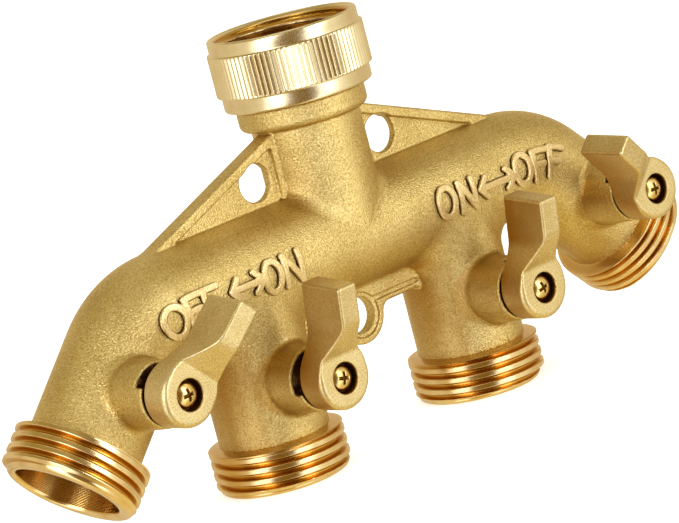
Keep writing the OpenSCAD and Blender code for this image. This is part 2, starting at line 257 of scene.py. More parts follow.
def rampOf(tree, value, *stops):
    # colours along a 0 to 1 value, each stop a place and a colour, in rising order
    ramp = addNode(tree, "ShaderNodeValToRGB", {"Fac": value})
    ramp.color_ramp.elements[0].position, ramp.color_ramp.elements[0].color = stops[0]
    ramp.color_ramp.elements[1].position, ramp.color_ramp.elements[1].color = stops[-1]
    for at, shade in stops[1:-1]:
        ramp.color_ramp.elements.new(at).color = shade
    return ramp.outputs["Color"]


def shaded(tree, tint, code, mark="shade"):
    # the tint, turned to another colour where the piece's mark is 1, which paints shade on it
    value = addNode(tree, "ShaderNodeAttribute", attribute_name=mark).outputs["Fac"]
    return addNode(tree, "ShaderNodeMixRGB", {"Fac": value, "Color1": tint, "Color2": colour(code)}).outputs[0]


def castBrassMaterial(name, look):
    # leaded casting brass after shot blasting: dull gold, with tiny dimples whose rims glint, in faint clouds
    # of darker and lighter metal
    material, tree, shader, place = newMaterial(name)
    grit = addNode(tree, "ShaderNodeTexNoise", {"Vector": place, "Scale": 1 / (look["gritMm"] * mm),
                                                "Detail": 2.0, "Roughness": 0.6})
    cloud = addNode(tree, "ShaderNodeTexNoise", {"Vector": place, "Scale": 1 / (look["cloudMm"] * mm),
                                                 "Detail": 4.0, "Roughness": 0.55})
    blend = addNode(tree, "ShaderNodeMath", {0: grit.outputs["Fac"], 1: 1 - look["cloudShare"]},
                    operation="MULTIPLY")
    both = addNode(tree, "ShaderNodeMath", {0: cloud.outputs["Fac"], 1: look["cloudShare"],
                                            2: blend.outputs[0]}, operation="MULTIPLY_ADD")
    tint = rampOf(tree, both.outputs[0], (0.38, colour(look["dark"])), (0.5, colour(look["middle"])),
                  (0.62, colour(look["light"])))
    # painted shade: warmer, darker brass where the shelter mark says other parts enclose the surface, and dark
    # brown where the shade mark is set
    tint = shaded(tree, tint, look["enclosedShadeColour"], "shelter")
    tree.links.new(shaded(tree, tint, look["paintedShadeColour"]), shader.inputs["Base Color"])
    rough = addNode(tree, "ShaderNodeMapRange", {"Value": grit.outputs["Fac"], "From Min": 0.3,
                                                 "From Max": 0.7, "To Min": look["rough"] + 0.08,
                                                 "To Max": look["rough"] - 0.1})
    tree.links.new(rough.outputs[0], shader.inputs["Roughness"])
    bump = addNode(tree, "ShaderNodeBump", {"Height": grit.outputs["Fac"], "Strength": look["strength"],
                                            "Distance": look["depthMm"] * mm})
    tree.links.new(bump.outputs[0], shader.inputs["Normal"])
    shader.inputs["Metallic"].default_value = 1.0
    return material


def turnedBrassMaterial(name, look):
    # brass cut on a lathe and buffed: bright, with a fine uneven polish, and painted shade in its grooves and
    # hollows
    material, tree, shader, place = newMaterial(name)
    mist = addNode(tree, "ShaderNodeTexNoise", {"Vector": place, "Scale": 1 / (look["mistMm"] * mm),
                                                "Detail": 5.0, "Roughness": 0.6})
    tint = rampOf(tree, mist.outputs["Fac"], (0.35, colour(look["dark"])), (0.65, colour(look["light"])))
    tree.links.new(shaded(tree, tint, look["paintedShadeColour"]), shader.inputs["Base Color"])
    fine = addNode(tree, "ShaderNodeTexNoise", {"Vector": place, "Scale": 1 / (look["scratchMm"] * mm),
                                                "Detail": 2.0})
    rough = addNode(tree, "ShaderNodeMapRange", {"Value": fine.outputs["Fac"], "From Min": 0.3,
                                                 "From Max": 0.7, "To Min": look["rough"] - 0.05,
                                                 "To Max": look["rough"] + 0.05})
    tree.links.new(rough.outputs[0], shader.inputs["Roughness"])
    bump = addNode(tree, "ShaderNodeBump", {"Height": fine.outputs["Fac"], "Strength": look["strength"],
                                            "Distance": 0.01 * mm})
    tree.links.new(bump.outputs[0], shader.inputs["Normal"])
    shader.inputs["Metallic"].default_value = 1.0
    return material


def plainMaterial(name, dark, light, rough, metallic, grainMm, depthMm):
    # moulded rubber, pressed plastic, drawn wire and plated metal, told apart by colour, gloss and grain
    material, tree, shader, place = newMaterial(name)
    grain = addNode(tree, "ShaderNodeTexNoise", {"Vector": place, "Scale": 1 / (grainMm * mm), "Detail": 3.0})
    tint = rampOf(tree, grain.outputs["Fac"], (0.35, colour(dark)), (0.65, colour(light)))
    tree.links.new(tint, shader.inputs["Base Color"])
    bump = addNode(tree, "ShaderNodeBump", {"Height": grain.outputs["Fac"], "Strength": 0.4,
                                            "Distance": depthMm * mm})
    tree.links.new(bump.outputs[0], shader.inputs["Normal"])
    shader.inputs["Roughness"].default_value = rough
    shader.inputs["Metallic"].default_value = metallic
    return material


# grit is 0.2 mm on the real casting; it is drawn a little larger so that it shows
castBrass = castBrassMaterial("shotBlastedBrass", dict(  # the body as it left the blasting: matt with a sparkle
    gritMm=0.32, cloudMm=9, cloudShare=0.25, dark="#BEA363", middle="#D9C27E", light="#EEDA9D", enclosedShadeColour="#A8761C",
    paintedShadeColour="#4A2C10", rough=0.37, strength=1.0, depthMm=0.19))
markBrass = castBrassMaterial("wornCastBrass", dict(  # raised marks, rubbed paler than the metal round them
    gritMm=0.32, cloudMm=9, cloudShare=0.25, dark="#D0B57A", middle="#EAD39C", light="#F8E8BE", enclosedShadeColour="#A8761C",
    paintedShadeColour="#4E320E", rough=0.38, strength=1.0, depthMm=0.08))
leverBrass = castBrassMaterial("tumbledBrass", dict(  # levers tumbled after blasting: paler and evenly matt
    gritMm=0.3, cloudMm=6, cloudShare=0.25, dark="#CCB67C", middle="#DECB96", light="#EDDFB2", enclosedShadeColour="#A8761C",
    paintedShadeColour="#6E4616", rough=0.45, strength=0.4, depthMm=0.04))
nutBrass = turnedBrassMaterial("satinTurnedBrass", dict(  # pale and satin, with painted shade turning the mouth and underside gold
    mistMm=5, scratchMm=0.15, dark="#E4D5AC", light="#F0E4C2", paintedShadeColour="#C4963E", rough=0.26, strength=0.1))
threadBrass = turnedBrassMaterial("brightTurnedBrass", dict(  # freshly cut thread: bright crests, roots made golden by painted shade
    mistMm=4, scratchMm=0.12, dark="#E2C690", light="#F2DEB0", paintedShadeColour="#CDA04A", rough=0.2, strength=0.1))
screwBrass = turnedBrassMaterial("yellowPlatedSteel", dict(  # bright yellow plating, with painted shade dark in the recess
    mistMm=1.5, scratchMm=0.1, dark="#D2B468", light="#EAD394", paintedShadeColour="#6A4818", rough=0.22, strength=0.1))
chromePlate = plainMaterial("chromePlate", "#C8C8CC", "#DCDCE0", 0.08, 1.0, 3, 0.002)  # a cool mirror
seatPlastic = plainMaterial("whiteFluoropolymer", "#E4E4E0", "#F2F2EE", 0.5, 0.0, 0.5, 0.01)  # waxy white
blackRubber = plainMaterial("mouldedRubber", "#161616", "#242424", 0.6, 0.0, 0.3, 0.02)  # dull black
ringSteel = plainMaterial("springSteelWire", "#8E8E92", "#B4B4B8", 0.3, 1.0, 0.3, 0.004)  # grey drawn wire
print("materials made")

mounts = {m["name"]: m for m in record["mounts"]}
joints = {j["name"]: j for j in frame["joints"]}


def valveFrame(i):
    # ball centre, the way up the leg and the way across it; across x up is front
    centre = np.array(joints[f"valve_{i}_turn"]["pos_m"]) / mm
    up = -np.array(mounts[f"outlet_{i}_thread"]["axis"], float)
    up /= np.linalg.norm(up)
    return centre, up, np.cross(up, front)


valves = {i: valveFrame(i) for i in (1, 2, 3, 4)}
innerX, innerZ = valves[3][0][0], valves[3][0][2]
outerX, outerZ = valves[4][0][0], valves[4][0][2]

manifold = dict(axisZ=-36.5, radius=11.0, bore=7.2, bendStart=45.26, bendRadius=17.0, drop=45.0,
                neckRadius=10.9, neckBore=7.6, legFillet=4.5, neckFillet=2.4, bossFillet=1.3,
                collarRadius=12.9, collarLow=-12.15, collarTop=-7.65, collarRound=1.4, collarLip=0.35,
                collarFillet=0.4, spigotRadius=10.33, spigotTop=-3.05, spigotEdge=0.4,
                grooveZ=-5.3, grooveRadius=0.82, grooveOut=0.12)  # the groove holds the nut's ring
valve = dict(ballDepth=20.5, threadLength=9.0, chamber=9.0, seatEnd=8.05, bossHeight=19.0, bossRadius=6.3,
             bossRoot=6.9, bossEdge=0.45, taperFrom=11.4, taperLength=7.2, stemHole=3.27, recessHole=4.8,
             recessTop=10.5, slotFloor=17.0, slotMiddle=135.0, slotHalf=59.5, slotReach=8.0, slotEdge=0.25,
             darkReach=6.05, darkBelow=0.3)
lowEnd = valve["ballDepth"] - valve["threadLength"]  # the cast tube ends this far below the ball's centre


def tubeLine(x, z):
    # offset in the plane of the manifold from its centre line: straight, a bend, and a straight outer leg.
    # Returns the offset and its direction (x and z), and the way travelled below the bend
    m = manifold
    drop = math.radians(m["drop"])
    cz = m["axisZ"] - m["bendRadius"]
    dx, dz = x - m["bendStart"], z - cz
    ex, ez = m["bendStart"] + m["bendRadius"] * math.sin(drop), cz + m["bendRadius"] * math.cos(drop)
    far = np.hypot(dx, dz) + 1e-9
    legOff = (x - ex) * math.sin(drop) + (z - ez) * math.cos(drop)
    legWay = (x - ex) * math.cos(drop) - (z - ez) * math.sin(drop)
    onStraight, onBend = dx <= 0, dz > dx
    off = np.where(onStraight, z - m["axisZ"], np.where(onBend, far - m["bendRadius"], legOff))
    nx = np.where(onStraight, 0.0, np.where(onBend, dx / far, math.sin(drop)))
    nz = np.where(onStraight, 1.0, np.where(onBend, dz / far, math.cos(drop)))
    return off, nx, nz, np.where(onStraight | onBend, -1.0, legWay)


outerWay = float(tubeLine(np.float64(outerX), np.float64(outerZ))[3])  # from the bend's end to the ball


def bossField(across, up, y):
    # a round boss towards the front that tapers a little to its end
    v = valve
    height = -y
    taper = np.clip((height - v["taperFrom"]) / v["taperLength"], 0, 1)
    radius = v["bossRoot"] - (v["bossRoot"] - v["bossRadius"]) * taper
    out = np.hypot(np.hypot(across, up), np.maximum(-height, 0)) - radius
    return cutRound(out, height - v["bossHeight"], v["bossEdge"])


def slotField(across, up, y):
    # the quarter-turn stop slot: a wedge between two angles round the stem, above the slot's floor
    v = valve
    reach = np.hypot(across, up)
    angle = np.degrees(np.arctan2(up, across)) - v["slotMiddle"]
    angle = np.abs((angle + 180) % 360 - 180) - v["slotHalf"]
    side = reach * np.sin(np.radians(np.clip(angle, -90, 90)))
    return np.maximum(cutRound(side, v["slotFloor"] + y, 0.3), reach - v["slotReach"])


def bodyField(x, y, z):
    # tubes joined with fillets that fade where two surfaces run along each other, less the waterways
    m, v = manifold, valve
    x = np.abs(x)
    off, nx, nz, way = tubeLine(x, z)
    far = np.hypot(off, y) + 1e-9
    body = np.maximum(far - m["radius"], way - outerWay - lowEnd)
    # inner leg
    lx, lz = x - innerX, np.maximum(z - m["axisZ"], 0)
    legFar = np.sqrt(lx * lx + y * y + lz * lz) + 1e-9
    alike = np.clip((off * nx * lx + y * y + off * nz * lz) / (far * legFar), 0, 1)
    leg = np.maximum(legFar - m["radius"], innerZ - lowEnd - z)
    fillet = m["legFillet"] * (1 - alike * alike) * smoothStep(1.0, 5.0, z - innerZ + lowEnd)
    body = joinRound(body, leg, fillet)
    # neck
    kz = np.minimum(z - m["axisZ"], 0)
    neckFar = np.sqrt(x * x + y * y + kz * kz) + 1e-9
    alike = np.clip((off * nx * x + y * y + off * nz * kz) / (far * neckFar), 0, 1)
    neck = np.maximum(neckFar - m["neckRadius"], z - m["collarTop"])
    body = joinRound(body, neck, m["neckFillet"] * (1 - alike * alike))
    # collar, and the spigot inside the nut
    middle, half = (m["collarLow"] + m["collarTop"]) / 2, (m["collarTop"] - m["collarLow"]) / 2
    rim = np.where(z < middle, m["collarRound"], m["collarLip"])
    reach = np.hypot(x, y)
    collar = cutRound(reach - m["collarRadius"], np.abs(z - middle) - half, rim)
    body = joinRound(body, collar, np.where(z < middle, m["collarFillet"], 0.0))
    spigot = cutRound(reach - m["spigotRadius"], z - m["spigotTop"], m["spigotEdge"])
    body = np.minimum(body, np.maximum(spigot, m["collarLow"] - z))
    groove = np.hypot(reach - m["spigotRadius"] - m["grooveOut"], z - m["grooveZ"])
    body = np.maximum(body, m["grooveRadius"] - groove)
    # bosses, each seen across and up its own leg, with their slots
    c = math.sqrt(0.5)
    ax, az = x - outerX, z - outerZ
    legs = ((innerX - x, z - innerZ), (-(ax + az) * c, (az - ax) * c))
    for across, up in legs:
        body = joinRound(body, bossField(across, up, y), m["bossFillet"])
    for across, up in legs:
        body = cutRound(body, -slotField(across, up, y), v["slotEdge"])
    # waterways and valve chambers
    legReach = np.hypot(lx, y)
    inside = np.maximum(far - m["bore"], way - outerWay)
    inside = np.minimum(inside, np.maximum(legReach - m["bore"], np.maximum(z - m["axisZ"], innerZ - z)))
    inside = np.minimum(inside, np.maximum(reach - m["neckBore"], m["axisZ"] - z))
    inside = np.minimum(inside, np.maximum(far - v["chamber"], outerWay - v["seatEnd"] - way))
    inside = np.minimum(inside, np.maximum(legReach - v["chamber"], z - innerZ - v["seatEnd"]))
    for across, up in legs:
        stemReach = np.hypot(across, up)
        inside = np.minimum(inside, np.maximum(stemReach - v["stemHole"], y))
        recess = np.maximum(y, -y - v["recessTop"])  # for the stem's collar
        inside = np.minimum(inside, np.maximum(stemReach - v["recessHole"], recess))
    return np.maximum(body, -inside)


castGrid = dict(margin=1.3, step=0.5, keep=0.42)
bodyLow, bodyHigh = (np.array(c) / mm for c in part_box("manifold_casting"))
points, faces, normals = fieldPiece("castBody", bodyField, bodyLow - castGrid["margin"],
                                    bodyHigh + castGrid["margin"], castGrid["step"], castGrid["keep"])

# where the casting hides the light: how far the looks lean from the face, and how far out they go
hiding = dict(looks=6, along=0.5, aside=0.87, steps=(10, 16, 24, 34), near=0.3, always=0.35, above=0.2)


def shelter(points, normals):
    # how much of the light at each point the casting hides: steps go out from it in six leaning directions,
    # each closed when the casting comes near it. Light from above counts most, and faces that look straight to
    # the front or the back stay in the open. The materials paint the value as shade
    p = hiding
    aside = np.cross(normals, np.where(np.abs(normals[:, :1]) < 0.7, [[1.0, 0, 0]], [[0, 0, 1.0]]))
    aside /= np.linalg.norm(aside, axis=1)[:, None] + 1e-9
    hidden, total = 0.0, 0.0
    for turn in np.arange(p["looks"]) * 2 * math.pi / p["looks"]:
        around = math.cos(turn) * aside + math.sin(turn) * np.cross(normals, aside)
        way = p["along"] * normals + p["aside"] * around
        clear = 1.0
        for step in p["steps"]:
            x, y, z = (points + way * step).T
            clear = np.minimum(clear, np.clip(bodyField(x, y, z) / (p["near"] * step), 0, 1))
        weight = p["always"] + np.maximum(way[:, 2] + p["above"], 0)
        hidden, total = hidden + weight * (1 - clear), total + weight
    return hidden / total * smoothStep(0.3, 1.0, np.hypot(normals[:, 0], normals[:, 2]))


def bossShade(p):
    # painted shade, dark inside the stop slots and under the levers' hubs. The value runs on past 0 and 1, so
    # that the edge stays sharp across large triangles
    shade = np.full(len(p), -9.0)
    for centre, along, side in valves.values():
        q = p - centre
        reach, height = np.hypot(q @ side, q @ along), q @ front - valve["slotFloor"] + valve["darkBelow"]
        shade = np.maximum(shade, np.minimum(valve["darkReach"] - reach, height) / 0.2)
    return shade


# painted shade: dark in the slots and under the hubs, and warmer brass where other parts of the casting enclose
# the surface
castBody = makePiece("castBody", points, faces, normals, shade=bossShade(points),
                     shelter=0.85 * smoothStep(0.1, 0.65, shelter(points, normals)))
dress(castBody, "splitter_body", "cast_brass", castBrass, "manifold_casting")

# ribs between the neck and the manifold, with their pockets and wall-screw holes
rib = dict(half=2.1, topAtNeck=-8.19, slope=(0.3536, 0.9354), low=-28.2, inner=9.2, outer=46.5, edge=0.65,
           pocketFloor=0.9, pocketStart=11.65, pocketTop=-14.8, pocketRound=0.9, pocketEdge=0.25, holeX=16.8,
           holeZ=-20.5, holeRadius=3.8, holeEdge=0.45, fillet=0.5, box=((-49, -4.4, -32), (49, 4.4, -6.5)))
lowerRib = dict(half=1.85, low=-52.4, high=-45.6, reach=17.2, edge=0.6, lugZ=-53.0, lugRadius=5.9,
                lugCorner=2.0, holeRadius=3.65, holeEdge=0.3, grooveLow=-51.3, grooveHigh=-50.4, dishRadius=4.5,
                recess=0.5, recessFloor=0.2, recessEdge=0.3, fillet=0.9,
                box=((-19.8, -4.2, -60.2), (19.8, 4.2, -43)))
ribStep = 0.25  # of the grid that their skins are found on


def ribField(x, y, z):
    # a plate under a sloping edge, with a three-cornered pocket in each face and a round hole through it
    p = rib
    x, y = np.abs(x), np.abs(y)
    a, b = p["slope"]
    plate = cutRound(a * x + b * (z - p["topAtNeck"]), y - p["half"], p["edge"])
    inWalls = np.maximum(p["inner"] - x, x - p["outer"])  # its ends lie inside the casting's walls
    plate = np.maximum(np.maximum(plate, p["low"] - z), inWalls)
    past = a * (x - p["pocketStart"]) + b * (z - p["pocketTop"])
    corner = cutRound(p["pocketStart"] - x, past, p["pocketRound"])
    pocket = cutRound(corner, p["pocketFloor"] - y, p["pocketEdge"])
    plate = cutRound(plate, -pocket, p["pocketEdge"])
    hole = np.hypot(x - p["holeX"], z - p["holeZ"])
    return cutRound(plate, p["holeRadius"] - hole, p["holeEdge"])


def lowerRibField(x, y, z):
    # a bar between the inner legs with a lug under its middle; a shallow groove runs into a dish round the hole
    p = lowerRib
    y = np.abs(y)
    bar = np.maximum(np.maximum(np.abs(x) - p["reach"], p["low"] - z), z - p["high"])
    toLug = np.hypot(x, z - p["lugZ"])
    plate = cutRound(joinRound(bar, toLug - p["lugRadius"], p["lugCorner"]), y - p["half"], p["edge"])
    middle, half = (p["grooveLow"] + p["grooveHigh"]) / 2, (p["grooveHigh"] - p["grooveLow"]) / 2
    dish = np.minimum(np.abs(z - middle) - half, toLug - p["dishRadius"])
    dish = cutRound(dish, p["half"] - p["recess"] - y, p["recessFloor"])
    plate = cutRound(plate, -dish, p["recessEdge"])
    return cutRound(plate, p["holeRadius"] - toLug, p["holeEdge"])


def graft(shape, fillet, depth=1.5, under=0.06, margin=0.5):
    # a small form grown on the casting with a fillet: its skin runs on just under the casting's own
    def field(x, y, z):
        own, body = shape(x, y, z), bodyField(x, y, z) + under
        return np.maximum(np.maximum(joinRound(own, body, fillet), own - fillet - margin), -body - depth)
    return field


for name, shape, p in (("wallRibs", ribField, rib), ("lugRib", lowerRibField, lowerRib)):
    points, faces, normals = fieldPiece(name, graft(shape, p["fillet"]), *p["box"], ribStep)
    dress(makePiece(name, points, faces, normals), "splitter_body", "cast_brass", castBrass)

# raised on and off marks with a two-headed arrow between them, cast on the front of the manifold. Each mark is
# its kind, its place along the manifold, half its width and how far it stands above the middle
letters = dict(halfHeight=3.6, halfStroke=0.72, rise=0.85, edge=0.3, fillet=0.12, sunk=1.0, barb=1.9,
               barHeight=0.2, barReach=0.6, footShadeTop=0.6, footShadeFade=0.3, step=0.2,
               left=(("O", -51.5, 2.55, 0.3), ("F", -46.2, 1.8, -0.2), ("F", -42.0, 1.7, -0.2),
                     ("arrow", -33.1, 4.0, 0.3), ("O", -26.6, 2.0, 0.0), ("N", -21.3, 2.0, 0.0)),
               right=(("O", 20.4, 2.1, 0.0), ("N", 26.1, 1.8, -0.2), ("arrow", 34.4, 4.8, -0.2),
                      ("O", 42.0, 2.1, 0.3), ("F", 47.0, 1.6, -0.2), ("F", 51.3, 1.6, 0.2)))


def strokeDistance(kind, u, v, half, tall):
    # distance from points to the middle of a mark's strokes: an ellipse, or the nearest of a few straight lines
    if kind == "O":
        k0 = np.hypot(u / half, v / tall)
        k1 = np.hypot(u / half ** 2, v / tall ** 2) + 1e-6
        return np.abs(k0 * (k0 - 1) / k1)
    barb, bar, reach = letters["barb"], letters["barHeight"], half * letters["barReach"]
    ends = {"N": ((-half, -tall, -half, tall), (-half, tall, half, -tall), (half, -tall, half, tall)),
            "F": ((-half, -tall, -half, tall), (-half, tall, half, tall), (-half, bar, reach, bar)),
            "arrow": ((-half, 0, half, 0), (-half, 0, barb - half, barb), (-half, 0, barb - half, -barb),
                      (half, 0, half - barb, barb), (half, 0, half - barb, -barb))}[kind]
    d = segmentDistance(u, v, *ends[0])
    for e in ends[1:]:
        d = np.minimum(d, segmentDistance(u, v, *e))
    return d


def letterField(marks):
    # strokes laid along the manifold's path and round its front, a little proud of the tube
    def field(x, y, z):
        m, p = manifold, letters
        off, nx, nz, way = tubeLine(np.abs(x), z)
        bend = m["bendRadius"] * math.radians(m["drop"])
        turned = m["bendRadius"] * np.arctan2(np.abs(x) - m["bendStart"], z - m["axisZ"] + m["bendRadius"])
        along = np.where(way > 0, m["bendStart"] + bend + way,
                         np.where(nx > 0, m["bendStart"] + turned, np.abs(x))) * np.sign(x)
        girth = m["radius"] * np.arctan2(off, -y)
        d = np.full(along.shape, np.inf)
        for kind, at, half, lift in marks:
            tall = p["halfHeight"] - p["halfStroke"]
            d = np.minimum(d, strokeDistance(kind, along - at, girth - lift, half, tall))
        proud = np.hypot(off, y) - m["radius"]
        strokes = cutRound(d - p["halfStroke"], proud - p["rise"], p["edge"])
        return np.maximum(strokes, -p["sunk"] - proud)
    return field


for name, marks, low, high in (
        ("offOnLeft", letters["left"], (-57.5, -12.6, -45.0), (-17.5, -7.5, -30.5)),
        ("onOffRight", letters["right"], (16.5, -12.6, -45.0), (55.5, -7.5, -30.5))):
    field = graft(letterField(marks), letters["fillet"], depth=0.8)
    points, faces, normals = fieldPiece(name, field, low, high, letters["step"])
    proud = np.hypot(tubeLine(np.abs(points[:, 0]), points[:, 2])[0], points[:, 1]) - manifold["radius"]
    # painted shade, darkest at the foot of each stroke where it meets the tube
    footShade = (letters["footShadeTop"] - proud) / letters["footShadeFade"]  # at the foot of each stroke
    dress(makePiece(name, points, faces, normals, shade=footShade), "splitter_body", "cast_brass", markBrass)
print("casting made")


def onValve(i, across, height, up):
    # points given across, out from the ball and up the leg, put in place on valve i
    centre, along, side = valves[i]
    return centre + across[..., None] * side + height[..., None] * front + up[..., None] * along


def turnedRows(profile, angle):
    # rows of height, radius and shade that are the same all round
    table = np.array(profile, float)
    return tuple(table[:, k:k + 1] + 0 * angle for k in range(3))


# outlet threads, cut on a lathe: a helical groove with round crests that runs out at the shoulder. Heights run
# from the open end up, and mouth and inner are rows of height, radius and shade
thread = dict(pitch=2.209, crest=13.45, root=12.2, neck=10.85, top=9.8, shoulder=9.0, runOut=(8.7, 7.9),
              crestShare=0.36, rootShare=0.9, leadRadius=12.75, leadRise=0.85, lead=(0.5, 1.9), lip=0.9,
              lipDepth=1.05, around=192, rows=150, ringPitch=0.3, ringDepth=0.017, rings=(0.7, 7.5),
              boreRadius=10.2, boreShade=0.8,
              mouth=((0.0, 11.3, 0), (0.0, 10.8, 0), (0.08, 10.5, 0), (0.3, 10.3, 0)),
              inner=((8.0, 10.2, 0.6), (12.4, 10.2, 0.7), (12.4, 10.6, 0.8), (9.8, 10.6, 0.8)))


def threadGrid():
    # profile from inside the leg down the outside, over the end and up the bore; the outside's radius is a
    # function of the height and the angle
    p = thread
    angle = np.linspace(0, 2 * np.pi, p["around"], endpoint=False)[None, :]
    t = np.linspace(p["top"], p["lip"], p["rows"])[:, None]
    phase = ((t / p["pitch"] - angle / (2 * np.pi)) % 1.0) * 2 - 1  # -1 and 1 at a groove's middle
    wave = smoothStep(p["crestShare"], p["rootShare"], np.abs(phase)) * smoothStep(*p["runOut"], t)
    shoulder = smoothStep(p["shoulder"] + 0.3, p["shoulder"] - 0.4, t)
    outside = p["neck"] + (p["crest"] - p["neck"]) * shoulder - wave * (p["crest"] - p["root"])
    outside = np.minimum(outside, p["leadRadius"] + smoothStep(*p["lead"], t) * p["leadRise"])
    shade = smoothStep(0.1, 0.5, wave) + 0.7 * smoothStep(8.5, 8.9, t)  # painted shade in the groove and on the shoulder above it
    over = np.linspace(0, np.pi / 2, 9)[1:, None]  # the end's rounded outer edge
    lip = outside[-1:] - p["lipDepth"] * (1 - np.cos(over))
    way = np.arange(*p["rings"], p["ringPitch"] / 5)[:, None] + 0 * angle  # fine rings left by the boring tool
    bore = p["boreRadius"] + p["ringDepth"] * np.sin(2 * np.pi * way / p["ringPitch"])
    # painted shade: the groove and shoulder outside, and the bore and the inner rows inside
    rows = [(t + 0 * angle, outside, shade),
            (p["lip"] - p["lip"] * np.sin(over) + 0 * angle, lip, 0 * lip), turnedRows(p["mouth"], angle),
            (way, bore, p["boreShade"] + 0 * way), turnedRows(p["inner"], angle)]
    height, radius, shade = (np.concatenate([r[k] for r in rows]) for k in range(3))
    return height, radius, np.broadcast_to(angle, radius.shape), shade


height, radius, angle, shade = threadGrid()
faces = gridFaces(*radius.shape, closeRows=True)
for i in valves:
    turn = angle + i * 1.3  # each thread starts where its own cutter came in
    points = onValve(i, radius * np.cos(turn), radius * np.sin(turn), height - valve["ballDepth"])
    points = points.reshape(-1, 3)
    outward = onValve(i, np.cos(turn), np.sin(turn), 0 * turn).reshape(-1, 3) - valves[i][0]
    # painted shade: the groove and shoulder marks, deepened where the casting encloses the thread
    threadShade = np.maximum(shade.ravel(), 0.85 * smoothStep(0.1, 0.6, shelter(points, outward)))
    piece = makePiece(f"outletThread{i}", points, faces[:, ::-1], sharpAngle=50, shade=threadShade)
    dress(piece, "splitter_body", "machined_brass", threadBrass)
print("threads made")

# inlet nut: a turned profile with pointed teeth rolled in its band, and the hose thread cut inside. Skirt, top
# and seat are rows of height, radius and shade: below the band, over the rim, and round the washer and the ring
nut = dict(rim=15.05, lowRim=14.85, band=15.64, flutes=90, fluteDepth=0.26, toothRound=0.08, threadRoot=13.62,
           threadCrest=12.6, pitch=2.209, threadTop=6.2, threadLow=0.4,
           skirt=((-7.5, 10.6, 1), (-7.5, 11.5, 1), (-7.5, 14.3, 0.5), (-7.46, 14.5, 0), (-7.34, 14.7, 0),
                  (-7.15, 14.82, 0), (-6.95, 14.85, 0), (-5.9, 14.85, 0), (-4.7, 14.85, 0)),
           top=((4.5, 15.05, 0), (5.4, 15.05, 0), (6.45, 15.05, 0), (6.75, 14.97, 0), (6.93, 14.8, 0),
                (7.0, 14.6, 0), (7.0, 14.4, 0), (6.95, 14.25, 0), (6.8, 14.12, 0), (6.5, 14.0, 0.1),
                (6.35, 13.85, 0.4), (6.25, 13.66, 0.8)),
           seat=((0.3, 13.62, 1), (0.05, 13.4, 1), (0.0, 12.95, 1), (-0.2, 12.92, 1), (-3.0, 12.92, 1),
                 (-3.05, 12.8, 1), (-3.05, 10.6, 1), (-4.4, 10.6, 1), (-4.4, 11.5, 1), (-6.2, 11.5, 1),
                 (-6.2, 10.6, 1)))


def nutGrid():
    # closed ring profile; in the band the radius dips at each flute, and in the mouth it follows the helix
    p = nut
    flute = np.array([0.0, 0.05, 0.14, 0.3, 0.42, 0.5, 0.58, 0.7, 0.86, 0.95])  # closer where the teeth turn
    angle = ((np.arange(p["flutes"])[:, None] + flute) * 2 * np.pi / p["flutes"]).reshape(1, -1)
    fromDip = np.tile(np.minimum(flute, 1 - flute), p["flutes"])[None, :]
    z = np.concatenate([np.linspace(-4.6, -3.7, 9), np.linspace(-3.4, 3.2, 6), np.linspace(3.5, 4.4, 9)])
    z = z[:, None]
    rim = np.where(z < 0, p["lowRim"], p["rim"])
    band = rim + (p["band"] - rim) * smoothStep(-4.55, -4.2, z) * smoothStep(4.35, 4.0, z)
    dip = p["fluteDepth"] * (np.hypot(1 - 2 * fromDip, p["toothRound"]) - p["toothRound"])
    dip = dip * smoothStep(-4.6, -3.9, z) * smoothStep(4.4, 3.7, z)
    t = np.linspace(p["threadTop"], p["threadLow"], 48)[:, None]
    phase = np.abs(((t / p["pitch"] - angle / (2 * np.pi)) % 1.0) * 2 - 1)
    ends = smoothStep(p["threadTop"], 5.6, t) * smoothStep(0.5, 1.2, t)
    ridge = (p["threadRoot"] - p["threadCrest"]) * smoothStep(0.2, 0.85, phase) * ends
    # painted shade under the skirt, in the mouth and round the washer, lighter on the thread's crests
    rows = [turnedRows(p["skirt"], angle), (z + 0 * angle, band - dip, 0 * dip), turnedRows(p["top"], angle),
            (t + 0 * angle, p["threadRoot"] - ridge, 1 - 0.5 * smoothStep(0.4, 0.9, phase)),
            turnedRows(p["seat"], angle)]
    height, radius, shade = (np.concatenate([r[k] for r in rows]) for k in range(3))
    return height, radius, angle, shade


height, radius, angle, shade = nutGrid()
points = np.stack([radius * np.cos(angle), radius * np.sin(angle), height], -1).reshape(-1, 3)
hoseNut = makePiece("hoseNut", points, gridFaces(*radius.shape, closeRows=True), sharpAngle=40, shade=shade)
dress(hoseNut, "inlet_nut", "nut_brass", nutBrass, "swivel_nut")
print("nut made", radius.size, "points")

# levers: a round hub with a flared arm that rises from it, soft edges, a screw well and a stop lug. The side
# profile runs through foot, heel, tip, shoulder and step, each a reach along the arm and a height
lever = dict(hub=6.1, low=19.6, high=25.8, well=3.05, wellFloor=23.0, wellEdge=0.25, arm=2.3, flare=5.0,
             edge=0.55, hubEdge=1.2, tipEdge=0.7, underEdge=0.45, foot=(8.0, 20.4), heel=(19.7, 22.6),
             tip=(18.2, 33.0), shoulder=(10.2, 31.6), step=(4.6, 25.8), shoulderEdge=0.8, stepFillet=0.3,
             lugLow=17.2, lugHigh=21.0, lugInner=3.4, lugOuter=6.0, lugHalf=11.0, grid=0.3)


def sideOf(up, height, a, b):
    # signed distance past the line from a to b, each a reach and a height; the lever lies on its right
    du, dh = b[0] - a[0], b[1] - a[1]
    size = math.hypot(du, dh)
    return ((height - a[1]) * du - (up - a[0]) * dh) / size


